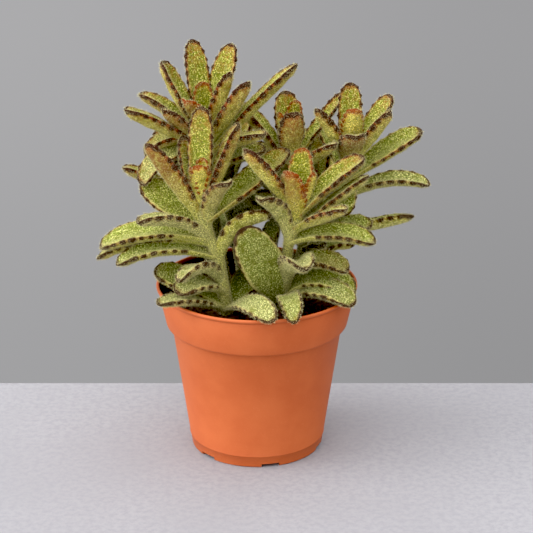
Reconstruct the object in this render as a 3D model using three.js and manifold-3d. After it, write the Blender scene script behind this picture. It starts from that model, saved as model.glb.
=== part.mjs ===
// Potted kalanchoe: a felt-leaved succulent with several leafy stems in a thin plastic nursery pot.
// Millimetres, +Z up. The origin is the centre of the pot's base, where it stands.
// -Y is the front of the plant and +X is its right.

import * as THREE from 'three';
import Module from 'manifold-3d';
import { mergeVertices } from 'three/addons/utils/BufferGeometryUtils.js';

const wasm = await Module();
wasm.setup();

// ---- Driving sizes ----

const potHeight = 104;
const rimRadius = 60;
const collarRadius = 54.6;
const collarBottom = 80;
const shoulderRadius = 51.2;
const shoulderHeight = 78.4;
const footRadius = 39.8;
const wall = 1.4;
const potSides = 36;

const footRingWidth = 3.6;
const baseRecess = 2.5;
const centrePadRadius = 14;

const notchCount = 6;
const notchWidth = 11;
const notchHeight = 2.2;
const firstNotchAngle = -78;
const drainHoleRadius = 4;
const drainHoleSides = 10;
const drainCircleRadius = 24.5;

const soilTop = 90.4;
const seatGap = 0.3;
const stemHoleFloor = 76;
const holeFlare = 3.2;
const stemHoleSides = 8;
const soilRings = [8, 24, 40];

const stemSides = 6;
const stemSteps = 7;
const uprightDepth = 5;
const leafThickness = 0.36;

// ---- Solids from closed geometries ----

const radians = THREE.MathUtils.degToRad;

function toSolid(geometry) {
  const bare = geometry.clone();
  bare.deleteAttribute('normal');
  bare.deleteAttribute('uv');
  const merged = mergeVertices(bare, 1e-4);
  const corners = merged.index.array;
  const triangles = [];
  for (let i = 0; i < corners.length; i += 3) {
    const [a, b, c] = corners.slice(i, i + 3);
    if (a !== b && b !== c && c !== a) {
      triangles.push(a, b, c);
    }
  }
  return new wasm.Manifold(new wasm.Mesh({
    numProp: 3,
    vertProperties: new Float32Array(merged.attributes.position.array),
    triVerts: new Uint32Array(triangles),
  }));
}

function toGeometry(solid) {
  const mesh = solid.getMesh();
  const geometry = new THREE.BufferGeometry();
  geometry.setAttribute('position', new THREE.BufferAttribute(new Float32Array(mesh.vertProperties), 3));
  geometry.setIndex(new THREE.BufferAttribute(new Uint32Array(mesh.triVerts), 1));
  geometry.computeVertexNormals();
  return geometry;
}

// A profile of [radius, height] pairs, turned about the vertical axis.
function turned(profile) {
  const points = profile.map(([radius, height]) => new THREE.Vector2(radius, height));
  return new THREE.LatheGeometry(points, potSides).rotateX(Math.PI / 2);
}

// ---- The plant's stems and leaves, placed by eye ----

// A stem has a centre line from where it leaves the soil. A leaf is
// [height on the stem, turn, rise, bend, long, wide, fold, roll]: it leaves the stem at that height,
// turned from +X about +Z, rising from the horizontal, and its tip has bent by so much more.
// Fold is how steeply its two halves are lifted, and roll turns it about its own midrib.
const stems = [
  {
    name: 'front_left',
    radius: 3.6,
    path: [[-18, -18, 92], [-22, -21, 124], [-28, -22, 142], [-33, -23, 157], [-33, -23, 164]],
    leaves: {
      bud_front: [156, -88, 85, -5, 31, 12, 0.5, 0],
      bud_left: [158, -170, 80, 0, 27, 9, 0.5, 0],
      bud_rear: [160, 60, 80, 0, 29, 10, 0.5, 0],
      bud_right: [159, 10, 75, 0, 24, 9, 0.5, 0],
      cupped_right: [145, -56, 82, -60, 46, 13, 0.3, 0],
      tall_right: [154, 20, 70, -8, 59, 14, 0.6, -15],
      brown_left: [148, -165, 60, -6, 63, 14, 0.5, 35],
      rear_left: [157, 125, 70, -5, 45, 13, 0.5, 0],
      rear_tall: [158, 84, 78, -5, 60, 14, 0.3, 0],
      broad_left: [144, 157, 34, -7, 49, 20, 0.25, -25],
      arch_left_upper: [139, -147, 47, -56, 55, 14, 0.5, 10],
      long_left: [140, -181, 16, -50, 67, 19, 0.4, -12],
      long_left_under: [137, 173, 10, -48, 72, 14, 0.4, 0],
      long_left_low: [128, -170, 25, -60, 62, 15, 0.45, -8],
      curled_left: [110, -131, 64, -105, 46, 14, 0.4, 20],
      under_curl: [105, -136, 46, -75, 40, 17, 0.3, -10],
      over_left_rim: [98, -178, 37, -24, 47, 19, 0.3, -25],
      rim_left: [93, -138, 35, -36, 56, 14, 0.3, 0],
      arch_right: [125, -6, 80, -84, 48, 15, 0.4, -35],
      long_right: [151, 25, 33, 0, 66, 19, 0.45, 12],
      rim_front: [93, -60, 39, -60, 60, 15, 0.15, 20],
      behind_oval: [95, 45, 40, -20, 39, 16, 0.3, 30],
    },
  },
  {
    name: 'front_right',
    radius: 3.2,
    path: [[16, -9, 92], [17, -14, 113], [19, -19, 137], [23, -21, 150], [25, -21, 160]],
    leaves: {
      bud_front: [150, -120, 75, 0, 35, 15, 0.5, 0],
      bud_right: [152, -15, 70, 3, 31, 10, 0.5, 0],
      bud_rear: [157, 65, 80, 0, 37, 15, 0.4, 0],
      left_tall: [155, -165, 55, -5, 53, 15, 0.45, 15],
      right_up: [154, 5, 50, -20, 52, 16, 0.55, 15],
      right_short: [145, -35, 35, -15, 42, 13, 0.5, 0],
      right_long: [137, -13, 25, -50, 53, 16, 0.45, 12],
      right_under: [141, -5, 45, -10, 59, 12, 0.4, 0],
      curl_left: [137, -125, 75, -60, 48, 13, 0.4, 10],
      funnel: [109, -74, 60, -70, 51, 17, 0.7, 0],
      fold_right: [117, -18, 42, -85, 42, 17, 0.3, 10],
      rim_right_far: [99, -20, 56, -112, 52, 18, 0.25, 20],
      rim_right: [93, -38, 50, -85, 58, 18, 0.28, 15],
      rim_front_right: [92, -84, 46, -78, 62, 13, 0.3, 15],
      big_oval: [96, -130, 57, -4, 69, 26, 0.1, -115],
    },
  },
  {
    name: 'tall_left',
    radius: 3.2,
    path: [[-17, 4, 91], [-24, 6, 135], [-29, 8, 178], [-31, 9, 201]],
    leaves: {
      rear_1: [189, 112, 74, -11, 61, 14, 0.3, 0],
      rear_2: [190, 47, 69, -5, 59, 15, 0.3, 10],
      left_high: [188, 179, 63, 1, 56, 14, 0.6, -15],
      bud_rear: [196, 105, 80, 0, 29, 12, 0.5, 0],
      right_high: [189, -17, 72, -3, 47, 13, 0.5, -10],
      right_front: [186, -25, 56, 3, 52, 14, 0.5, -10],
      bud_front: [195, -125, 62, -20, 30, 13, 0.5, 0],
      left_front: [184, -143, 49, -8, 43, 14, 0.45, 0],
      left_arch: [184, -165, 45, -105, 43, 14, 0.5, 0],
      left_upper: [185, 171, 55, -38, 52, 14, 0.5, 0],
      left_long: [183, -154, 39, -15, 61, 15, 0.5, 0],
      left_drop: [178, -153, 38, -118, 52, 14, 0.4, -20],
      right_flat: [181, -35, 35, -20, 47, 14, 0.4, 0],
      right_under: [174, -20, 30, -20, 39, 14, 0.35, 15],
      right_far: [181, 0, 50, -8, 77, 14, 0.5, 0],
      right_back_dark: [176, 25, 8, -5, 42, 14, 0.3, 20],
      rear_low_1: [172, 85, 35, -30, 50, 15, 0.4, 0],
      rear_low_2: [165, 115, 35, -20, 46, 15, 0.4, 0],
      rear_low_3: [152, 115, 30, -40, 46, 14, 0.4, 0],
    },
  },
  {
    name: 'mid_back',
    radius: 3.2,
    path: [[3, 8, 90], [11, 10, 133], [19, 13, 167], [20, 15, 186]],
    leaves: {
      rear: [176, 97, 64, -5, 42, 15, 0.3, 0],
      bud_rear: [181, 60, 75, 0, 31, 11, 0.5, 0],
      front: [173, -75, 75, 0, 37, 15, 0.4, 0],
      bud_left: [178, -145, 75, 0, 30, 9, 0.5, 0],
      left: [171, 158, 60, -28, 50, 16, 0.45, 10],
      right_front: [166, -35, 45, -15, 43, 14, 0.4, 0],
      right_rear: [173, 35, 45, -4, 56, 10, 0.5, 0],
      left_low: [152, -145, 55, -30, 28, 13, 0.3, 0],
      front_low: [143, -125, 65, -50, 33, 13, 0.3, 0],
      right_low: [138, -101, 30, -105, 27, 10, 0.3, 10],
      fill_left: [138, -182, 45, -17, 38, 14, 0.3, 10],
      rear_low_1: [166, 70, 35, -25, 44, 14, 0.4, 0],
      rear_low_2: [158, 115, 35, -30, 44, 14, 0.4, 0],
    },
  },
  {
    name: 'right_back',
    radius: 3.2,
    path: [[16, 10, 91], [32, 12, 120], [50, 14, 151], [57, 15, 188]],
    leaves: {
      rear_1: [176, 87, 70, -5, 46, 14, 0.3, 0],
      rear_2: [178, 22, 51, 4, 44, 15, 0.35, 10],
      right_fold: [171, -19, 59, -8, 46, 14, 0.6, 0],
      bud_front: [181, -80, 75, 0, 30, 13, 0.5, 0],
      front: [170, -80, 68, -42, 38, 15, 0.4, 0],
      left: [173, -152, 64, -11, 44, 11, 0.5, 15],
      right_long: [163, 4, 40, -15, 55, 18, 0.35, 15],
      right_arch: [151, -13, 40, -60, 58, 14, 0.5, 8],
      right_low: [126, 3, 20, -15, 61, 14, 0.5, -15],
      behind_long: [131, -32, 39, -55, 37, 15, 0.3, 10],
      droop: [157, -90, 45, -120, 42, 14, 0.3, 0],
      fill_right: [112, -55, 55, -30, 26, 15, 0.3, 0],
      fill_low: [103, -60, 60, -60, 36, 15, 0.3, 0],
      rear_low_1: [166, 110, 40, -25, 46, 14, 0.4, 0],
      rear_low_2: [158, 75, 35, -35, 46, 15, 0.4, 0],
      rear_low_3: [140, 75, 20, -50, 40, 14, 0.4, 0],
    },
  },
  {
    name: 'left_low',
    radius: 3.2,
    path: [[-15, 14, 89], [-34, 18, 124], [-47, 22, 151], [-54, 22, 166]],
    leaves: {
      fill_low: [129, -130, 70, -15, 38, 14, 0.3, 0],
      dark_tip: [153, -165, 40, -25, 38, 12, 0.4, 0],
      front_fill: [157, -100, 60, -20, 29, 12, 0.3, 0],
      rear_1: [156, 110, 51, -15, 41, 13, 0.4, 0],
      rear_2: [148, 153, 34, -35, 40, 12, 0.4, 0],
      bud_rear: [164, 60, 75, 0, 24, 9, 0.4, 0],
      bud_left: [163, -160, 70, 0, 22, 9, 0.4, 0],
    },
  },
  {
    name: 'rear_left',
    radius: 3.2,
    path: [[-8, 31, 92], [-13, 36, 118], [-18, 40, 140], [-21, 42, 156]],
    leaves: {
      bud_1: [154, 90, 80, 0, 28, 10, 0.4, 0],
      bud_2: [154, -90, 80, 0, 26, 10, 0.4, 0],
      upper_1: [154, 20, 65, -5, 41, 14, 0.4, 0],
      upper_2: [149, 160, 62, -5, 36, 12, 0.4, 0],
      upper_3: [146, 75, 50, -15, 46, 14, 0.4, 0],
      upper_4: [144, -100, 65, 0, 40, 13, 0.4, 0],
      mid_1: [136, 141, 38, -30, 52, 16, 0.4, 0],
      mid_2: [133, 27, 21, -47, 38, 21, 0.4, 0],
      low_1: [120, 123, 19, -45, 52, 16, 0.4, 0],
      low_2: [114, 173, 19, -45, 50, 14, 0.4, 0],
      rim: [97, 80, 42, -75, 50, 16, 0.4, 0],
    },
  },
  {
    name: 'rear_right',
    radius: 3.2,
    path: [[22, 28, 92], [28, 35, 112], [32, 41, 128], [34, 44, 140]],
    leaves: {
      bud_1: [138, 80, 80, 0, 28, 10, 0.4, 0],
      bud_2: [138, -100, 78, 0, 26, 10, 0.4, 0],
      upper_1: [138, 41, 75, 8, 44, 18, 0.4, 0],
      upper_2: [133, 150, 60, -5, 36, 12, 0.4, 0],
      upper_3: [130, 60, 48, -15, 44, 14, 0.4, 0],
      mid_1: [124, 110, 38, -30, 48, 15, 0.4, 0],
      mid_2: [120, 55, 32, -35, 40, 15, 0.4, 0],
      low_1: [112, 62, 27, -50, 50, 19, 0.4, 0],
      rim: [98, 35, 45, -80, 48, 16, 0.4, 0],
    },
  },
];

// Where a leaf is widest, as a share of its length. Young leaves in the buds taper from low down.
const defaultBelly = 0.6;
const budBelly = 0.45;
const broadBellies = { big_oval: 0.42 };

// ---- Pot ----

// The inner face of the wall, one wall thickness inside the outer one.
const innerShoulder = [shoulderRadius - wall, shoulderHeight + 0.3];
const innerCollar = [collarRadius - wall, collarBottom + 0.6];
const innerRim = [rimRadius - wall - 0.1, potHeight - 0.6];
const floorTop = baseRecess + wall;
const innerFoot = [footRadius - 0.9, floorTop];

function potSolid() {
  const body = toSolid(turned([
    [0, 0],
    [centrePadRadius, 0],
    [centrePadRadius + 1, baseRecess],
    [footRadius - footRingWidth, baseRecess],
    [footRadius - footRingWidth + 0.4, 0],
    [footRadius, 0],
    // The seam where the base was moulded on stands proud as a thin ring.
    [footRadius + 1.0, 6.9],
    [footRadius + 1.7, 7.6],
    [footRadius + 1.3, 8.3],
    [shoulderRadius, shoulderHeight],
    // The collar steps out over the wall, with a small rounding under its edge.
    [collarRadius - 0.6, collarBottom - 0.9],
    [collarRadius, collarBottom],
    // The collar ends in a fine groove and a rolled bead.
    [rimRadius - 0.8, potHeight - 2.6],
    [rimRadius + 0.2, potHeight - 1.9],
    [rimRadius + 0.2, potHeight - 0.4],
    [rimRadius - 0.6, potHeight],
    [rimRadius - 1.2, potHeight - 0.1],
    innerRim,
    innerCollar,
    innerShoulder,
    innerFoot,
    [centrePadRadius, floorTop],
    [centrePadRadius - 1, wall],
    [0, wall],
  ]));
  const cutters = [];
  for (let i = 0; i < notchCount; i += 1) {
    const angle = radians(firstNotchAngle + (i * 360) / notchCount);
    const notch = new THREE.BoxGeometry(footRingWidth * 2.4, notchWidth, notchHeight * 2);
    notch.translate(footRadius - footRingWidth / 2, 0, 0).rotateZ(angle);
    cutters.push(toSolid(notch));
    const drain = new THREE.CylinderGeometry(
      drainHoleRadius, drainHoleRadius, 4 * wall, drainHoleSides);
    drain.rotateX(Math.PI / 2).translate(drainCircleRadius, 0, floorTop).rotateZ(angle);
    cutters.push(toSolid(drain));
  }
  return cutters.reduce((solid, cutter) => solid.subtract(cutter), body);
}

// ---- Potting mix ----

// Low mounds and hollows left by planting and watering.
function soilRelief(x, y) {
  return 0.5 * Math.sin(0.19 * x + 0.7) * Math.cos(0.16 * y) + 0.4 * Math.sin(0.37 * x - 0.31 * y);
}

function soilSolid() {
  const slope = (innerRim[0] - innerCollar[0]) / (innerRim[1] - innerCollar[1]);
  const edge = innerCollar[0] + slope * (soilTop - innerCollar[1]) - seatGap - 0.1;
  const bed = turned([
    [0, wall + seatGap],
    [centrePadRadius - 1.3, wall + seatGap],
    [centrePadRadius - 0.2, floorTop + seatGap],
    [innerFoot[0] - seatGap - 0.1, floorTop + seatGap],
    [innerShoulder[0] - seatGap - 0.1, innerShoulder[1] + 0.2],
    [innerCollar[0] - seatGap - 0.1, innerCollar[1] + 0.2],
    [edge, soilTop - 0.3],
    ...soilRings.map((inward) => [edge - inward, soilTop]),
    [0, soilTop],
  ]);
  const spots = bed.attributes.position;
  for (let i = 0; i < spots.count; i += 1) {
    if (spots.getZ(i) > soilTop - 0.1) {
      spots.setZ(i, soilTop + soilRelief(spots.getX(i), spots.getY(i)));
    }
  }
  const holes = stems.map(({ radius, path }) => {
    const depth = 2 * (soilTop - stemHoleFloor);
    const hole = new THREE.CylinderGeometry(
      radius + holeFlare, radius + 2 * seatGap, depth, stemHoleSides);
    hole.rotateX(Math.PI / 2).translate(path[0][0], path[0][1], stemHoleFloor + depth / 2);
    return toSolid(hole);
  });
  return holes.reduce((solid, hole) => solid.subtract(hole), toSolid(bed));
}

// ---- Leaves ----

// Half a leaf's width at a share of its length, as a share of its greatest half width:
// a clasping base, a belly, and a blunt round tip.
function outline(s, belly) {
  const rise = THREE.MathUtils.smoothstep(s, 0, belly);
  const fall = Math.max(0, (s - belly + 0.02) / (1.02 - belly));
  return (0.5 + 0.5 * rise) * Math.sqrt(Math.max(0, 1 - fall ** 2.8));
}

// The section is a channelled boat: a channel, two margins and a keel.
// Each entry gives how far out it lies, how far the fold lifts it and its share of the thickness.
const section = [
  { out: 0, lift: -0.4, swell: 0.35 },
  { out: 1, lift: 0.6, swell: 0 },
  { out: 0, lift: -0.4, swell: -0.58 },
  { out: -1, lift: 0.6, swell: 0 },
];

// The way a leaf runs, and its upper side, at a share of its length.
function bearing(leaf, s) {
  const rise = radians(leaf.rise + leaf.bend * s ** 1.3);
  const turn = radians(leaf.turn);
  const along = new THREE.Vector3(
    Math.cos(rise) * Math.cos(turn), Math.cos(rise) * Math.sin(turn), Math.sin(rise));
  const upper = new THREE.Vector3(
    -Math.sin(rise) * Math.cos(turn), -Math.sin(rise) * Math.sin(turn), Math.cos(rise));
  upper.applyAxisAngle(along, radians(leaf.roll));
  return { along, upper, across: along.clone().cross(upper) };
}

const midribSteps = 16;

// A point of the midrib, added up along the leaf in short steps.
function midrib(root, leaf, s) {
  const point = root.clone();
  for (let i = 0; i < midribSteps; i += 1) {
    const { along } = bearing(leaf, (s * (i + 0.5)) / midribSteps);
    point.addScaledVector(along, (leaf.long * s) / midribSteps);
  }
  return point;
}

const tipRing = 0.985;
const ringCrowding = 1.3;
const shortLeaf = 34;
const shortLeafRings = 6;
const longLeafRings = 8;
const toothReach = 0.08;
const toothStart = 0.3;

function leafSolid(root, leaf) {
  const rings = leaf.long < shortLeaf ? shortLeafRings : longLeafRings;
  const blade = new THREE.CylinderGeometry(1, 1, 1, section.length, rings);
  const spots = blade.attributes.position;
  for (let i = 0; i < spots.count; i += 1) {
    const share = spots.getY(i) + 0.5;
    const ring = Math.round(share * rings);
    const angle = Math.atan2(spots.getX(i), spots.getZ(i));
    const onAxis = Math.hypot(spots.getX(i), spots.getZ(i)) < 0.5;
    const s = onAxis && ring === rings ? 1 : tipRing * (1 - (1 - share) ** ringCrowding);
    const cornerNumber = Math.round((angle / (2 * Math.PI)) * section.length) + section.length;
    const corner = section[cornerNumber % section.length];
    const shape = outline(s, leaf.belly);
    const half = (leaf.wide / 2) * shape;
    const thick = leafThickness * leaf.wide * Math.min(1, 0.25 + 0.75 * shape);
    // Every second ring of the outer part bears a tooth on each margin.
    const tooth = ring % 2 === 1 && share > toothStart ? toothReach : 0;
    const { upper, across } = bearing(leaf, s);
    const point = midrib(root, leaf, s);
    if (!onAxis) {
      point.addScaledVector(across, corner.out * half + Math.trunc(corner.out) * tooth * leaf.wide);
      point.addScaledVector(upper, corner.lift * leaf.fold * half + corner.swell * thick);
    }
    spots.setXYZ(i, point.x, point.y, point.z);
  }
  return toSolid(blade);
}

// ---- Stems ----

// The point of a stem's centre line at a height.
function pointAtHeight(path, height) {
  const above = Math.max(1, path.findIndex(([, , z]) => z >= height));
  const [low, high] = [path[above - 1], path[above]].map((spot) => new THREE.Vector3(...spot));
  return low.lerp(high, (height - low.z) / (high.z - low.z));
}

function stemSolid(stem) {
  const ring = Array.from({ length: stemSides }, (_, i) => {
    const angle = (2 * Math.PI * i) / stemSides;
    return new THREE.Vector2(stem.radius * Math.cos(angle), stem.radius * Math.sin(angle));
  });
  const [x, y] = stem.path[0];
  const line = [[x, y, stemHoleFloor + seatGap], [x, y, soilTop - uprightDepth], ...stem.path];
  const centres = line.map((spot) => new THREE.Vector3(...spot));
  const extrudePath = new THREE.CatmullRomCurve3(centres, false, 'centripetal');
  return toSolid(new THREE.ExtrudeGeometry(new THREE.Shape(ring), { steps: stemSteps, extrudePath }));
}

const joinTolerance = 0.3;

// Everything that grew together on one stem is one body. Slivers and sealed pockets are dropped.
function outerSkin(solid) {
  const pieces = solid.decompose().sort((a, b) => b.volume() - a.volume());
  return pieces[0];
}

function leafyStemSolid(stem) {
  const leaves = Object.entries(stem.leaves).map(([name, row]) => {
    const [height, turn, rise, bend, long, wide, fold, roll] = row;
    const belly = broadBellies[name] ?? (name.startsWith('bud') ? budBelly : defaultBelly);
    return leafSolid(pointAtHeight(stem.path, height), { turn, rise, bend, long, wide, fold, roll, belly });
  });
  return outerSkin(wasm.Manifold.union([stemSolid(stem), ...leaves]).simplify(joinTolerance));
}

// ---- Assembly ----

const terracottaPlastic = new THREE.MeshStandardMaterial({ color: 0xc06a3e, roughness: 0.55 });
const pottingMix = new THREE.MeshStandardMaterial({ color: 0x2a1e15, roughness: 1 });
const feltedLeaf = new THREE.MeshStandardMaterial({ color: 0x8a9450, roughness: 0.9 });

function named(name, solid, material) {
  const mesh = new THREE.Mesh(toGeometry(solid), material);
  mesh.name = name;
  return mesh;
}

const pottedKalanchoe = new THREE.Group();
pottedKalanchoe.add(named('pot', potSolid(), terracottaPlastic));
pottedKalanchoe.add(named('potting_mix', soilSolid(), pottingMix));
for (const stem of stems) {
  pottedKalanchoe.add(named(`leafy_stem_${stem.name}`, leafyStemSolid(stem), feltedLeaf));
}

export default pottedKalanchoe;
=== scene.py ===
# %% [markdown]
# # A potted kalanchoe
# The plant is a felt-leaved succulent: thick folded leaves covered in short pale hair, with a row of brown
# teeth along each margin. Its stems stand in a thin terracotta-coloured nursery pot. The imported model gives
# the pot and one plain solid for each leafy stem, at the real size. This lesson makes the fine surfaces that
# stand for them, in the same places, so first it loads that model and keeps its mesh parts.

# %% Load the imported model
import math

import bmesh
import bpy
from mathutils import Matrix, Vector, noise


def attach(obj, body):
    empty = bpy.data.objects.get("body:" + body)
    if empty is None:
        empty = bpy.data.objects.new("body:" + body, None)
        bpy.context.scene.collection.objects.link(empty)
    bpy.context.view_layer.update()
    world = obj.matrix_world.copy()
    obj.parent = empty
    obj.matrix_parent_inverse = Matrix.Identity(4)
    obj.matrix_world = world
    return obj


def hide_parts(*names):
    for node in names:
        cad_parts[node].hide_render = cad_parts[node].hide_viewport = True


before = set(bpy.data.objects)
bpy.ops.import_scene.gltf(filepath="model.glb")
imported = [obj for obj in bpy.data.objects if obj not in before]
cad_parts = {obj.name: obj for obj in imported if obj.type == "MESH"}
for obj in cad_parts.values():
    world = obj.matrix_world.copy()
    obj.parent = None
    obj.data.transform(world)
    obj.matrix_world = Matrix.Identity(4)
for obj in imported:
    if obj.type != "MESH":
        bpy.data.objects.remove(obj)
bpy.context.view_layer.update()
MM = 0.001
print("CAD nodes:", sorted(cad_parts))

# %% [markdown]
# Three small helpers are used throughout. Colours are chosen as they look on a screen, and a renderer works
# with linear light, so each one is converted. A soft step turns a hard limit into a smooth ramp. Every
# finished mesh goes through one function, which gives it a name, smooth shading, its material and the body
# that it moves with.


# %% Helpers for colours, ramps and finished pieces
def screen_colour(red, green, blue):
    linear = []
    for level in (red, green, blue):
        share = level / 255
        linear.append(share / 12.92 if share <= 0.04045 else ((share + 0.055) / 1.055) ** 2.4)
    return (*linear, 1.0)


def soft_step(value, low, high):
    share = min(1.0, max(0.0, (value - low) / (high - low)))
    return share * share * (3 - 2 * share)


def finish_piece(shape, name, material, stands_for=()):
    mesh = bpy.data.meshes.new(name)
    if isinstance(shape, bmesh.types.BMesh):
        shape.to_mesh(mesh)
        shape.free()
    else:
        mesh = shape
        mesh.name = name
    for polygon in mesh.polygons:
        polygon.use_smooth = True
    mesh.materials.clear()
    mesh.materials.append(material)
    piece = bpy.data.objects.new(name, mesh)
    bpy.context.scene.collection.objects.link(piece)
    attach(piece, "root")
    if stands_for:
        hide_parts(*stands_for)
    print(f"{name}: {len(mesh.polygons)} faces")
    return piece


# %% [markdown]
# ## The camera
# The view looks down on the plant by 21.5 degrees from well back, with a long lens, so the pot's rim is a
# flat ellipse and its sides hardly converge. A long lens far away gives that, where a short lens close up
# would make the pot look like a funnel.
# Colours are shown as they are, except that the darkest levels are pulled down to black, so that the hollows
# among the leaves stay deep.

# %% Place the camera
look_down = math.radians(21.5)
camera_distance = 1.2
camera_target = Vector((5.8, 0, 113.83)) * MM
sensor_width = 36
lens_to_sensor = 3.76923

camera_data = bpy.data.cameras.new("view")
camera_data.sensor_width = sensor_width
camera_data.lens = sensor_width * lens_to_sensor
camera = bpy.data.objects.new("view", camera_data)
camera.location = camera_target + camera_distance * Vector((0, -math.cos(look_down), math.sin(look_down)))
camera.rotation_euler = (math.pi / 2 - look_down, 0, 0)
bpy.context.scene.collection.objects.link(camera)
bpy.context.scene.camera = camera
print(f"camera: lens {camera_data.lens:.1f} mm, {camera_distance} m away")

# %% Pull down the darkest levels
darkest_level = 0.018
picture = bpy.context.scene.view_settings
picture.view_transform = "Standard"
picture.use_curve_mapping = True
picture.curve_mapping.black_level = (darkest_level, darkest_level, darkest_level)
picture.curve_mapping.update()
print("black starts at", darkest_level)

# %% [markdown]
# ## Building materials from nodes
# A procedural material is a small network: noises and measurements go in at one side, and a colour, a
# roughness and a bump come out at the other. Adding nodes one by one takes many lines, so these helpers add
# one node, connect its inputs and give back its output.


# %% Node helpers
def new_material(name):
    material = bpy.data.materials.new(name)
    material.use_nodes = True
    return material, material.node_tree, material.node_tree.nodes["Principled BSDF"]


def add_node(tree, kind, inputs=None, **settings):
    node = tree.nodes.new("ShaderNode" + kind)
    for name, value in settings.items():
        setattr(node, name, value)
    for name, value in (inputs or {}).items():
        if isinstance(value, bpy.types.NodeSocket):
            tree.links.new(value, node.inputs[name])
        else:
            node.inputs[name].default_value = value
    return node


def calculate(tree, operation, first, second=0.0):
    return add_node(tree, "Math", {0: first, 1: second}, operation=operation).outputs[0]


def product(tree, first, *others):
    result = first
    for other in others:
        result = calculate(tree, "MULTIPLY", result, other)
    return result


def ramp(tree, value, low, high, at_low=0.0, at_high=1.0):
    inputs = {"Value": value, "From Min": low, "From Max": high, "To Min": at_low, "To Max": at_high}
    return add_node(tree, "MapRange", inputs, interpolation_type="SMOOTHSTEP").outputs[0]


def mix_colours(tree, share, first, second):
    node = add_node(tree, "Mix", {0: share, 6: first, 7: second}, data_type="RGBA")
    return node.outputs[2]


def grain(tree, position, scale, detail=2.0, roughness=0.5):
    inputs = {"Vector": position, "Scale": scale, "Detail": detail, "Roughness": roughness}
    return add_node(tree, "TexNoise", inputs).outputs["Fac"]


def object_position(tree):
    return add_node(tree, "TexCoord").outputs["Object"]


# %% [markdown]
# ## Light, table and backdrop
# One large soft box stands far out on the left, so the pot's left side is bright and its right side falls
# away, with no hard shadow edge. The rest of the light comes from the surroundings. They are an even grey
# behind the plant, which is what the camera sees, and brighter in front of it and overhead, which keeps the
# shaded side readable and opens up the leaves. The plant stands near the back edge of a pale table.

# %% Key light on the left
key_place = Vector((-5.9, -0.9, 3.1))
key_aim = Vector((0, 0, 0.13))
key_width = 4.2

key_light = bpy.data.lights.new("key_left", "AREA")
key_light.shape = "SQUARE"
key_light.size = key_width
key_light.energy = 285
key = bpy.data.objects.new("key_left", key_light)
key.location = key_place
key.rotation_euler = (key_aim - key_place).to_track_quat("-Z", "Y").to_euler()
bpy.context.scene.collection.objects.link(key)
print("key light:", key_width, "m wide,", key_light.energy, "W")

# %% Grey surroundings
world = bpy.data.worlds.new("studio")
bpy.context.scene.world = world
world.use_nodes = True
tree = world.node_tree
backdrop = tree.nodes["Background"]
direction = add_node(tree, "TexCoord").outputs["Generated"]
rightward, backward, upward = add_node(tree, "SeparateXYZ", {"Vector": direction}).outputs
across_view = ramp(tree, rightward, -0.14, 0.14, 0.415, 0.35)
up_view = ramp(tree, upward, -0.43, -0.24, 0.9, 1.03)
brightness = product(tree, across_view, up_view)
facing = calculate(tree, "ADD", backward, product(tree, rightward, 0.6))
in_front = ramp(tree, facing, 0.3, -1.1, 0.0, 1.15)
overhead = ramp(tree, upward, 0.3, 1.0, 0.0, 1.95)
brightness = calculate(tree, "ADD", brightness, in_front)
brightness = calculate(tree, "ADD", brightness, overhead)
backdrop.inputs["Color"].default_value = (0.985, 0.98, 1.0, 1)
tree.links.new(brightness, backdrop.inputs["Strength"])
print("surroundings: grey")

# %% Table top
table_back = 82 * MM
table_reach = 3.0
table_thickness = 30 * MM
table_edge = 2 * MM

bm = bmesh.new()
bmesh.ops.create_cube(bm, size=1)
bmesh.ops.scale(bm, verts=bm.verts, vec=(2 * table_reach, table_reach + table_back, table_thickness))
bmesh.ops.translate(bm, verts=bm.verts, vec=(0, (table_back - table_reach) / 2, -table_thickness / 2))
bmesh.ops.bevel(bm, geom=bm.edges[:], offset=table_edge, segments=3, profile=0.5, affect="EDGES", material=-1)
table_mesh = bpy.data.meshes.new("table")
bm.to_mesh(table_mesh)
bm.free()
table = bpy.data.objects.new("table", table_mesh)
bpy.context.scene.collection.objects.link(table)
print("table: back edge", table_back, "m behind the pot's centre")

# %% Pale surface of the table
paper, tree, shader = new_material("pale_table")
spot = object_position(tree)
cloudy = ramp(tree, grain(tree, spot, 9, 4), 0.35, 0.65)
fleck = ramp(tree, grain(tree, spot, 260, 3, 0.7), 0.35, 0.7)
pale = mix_colours(tree, cloudy, screen_colour(150, 149, 152), screen_colour(155, 154, 157))
pale = mix_colours(tree, fleck, pale, screen_colour(144, 143, 147))
tree.links.new(pale, shader.inputs["Base Color"])
shader.inputs["Roughness"].default_value = 0.8
table_mesh.materials.append(paper)
print("pale table:", len(tree.nodes), "nodes")

# %% [markdown]
# ## The pot
# It is one thin moulded wall: a tapered body, a flared collar above a shoulder, a rolled bead with a fine
# groove under it, and a seam near the foot. A round wall is made by spinning half its section about the
# axis, and the finer the section, the truer the edges catch the light. Six notches in the foot and six
# drain holes let water out. They are cut with a Boolean, which is then applied, so the cutters can go.
#
# Spin, and later the extrusion of the bed and the sphere operator, lay down their faces in an order that
# differs from run to run. The shape is the same, but whatever counts through the faces, as the scattering of
# hairs does, would draw other lots in every run. So such a mesh's faces are laid down again in the order of
# their points.


# %% Lay the faces down in a fixed order
def fix_face_order(bm):
    bm.verts.index_update()
    loops = []
    for face in bm.faces:
        corners = list(face.verts)
        first = corners.index(min(corners, key=lambda vert: vert.index))
        loops.append(corners[first:] + corners[:first])
    loops.sort(key=lambda corners: [vert.index for vert in corners])
    bmesh.ops.delete(bm, geom=bm.faces[:], context="FACES_ONLY")
    for corners in loops:
        bm.faces.new(corners)


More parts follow.
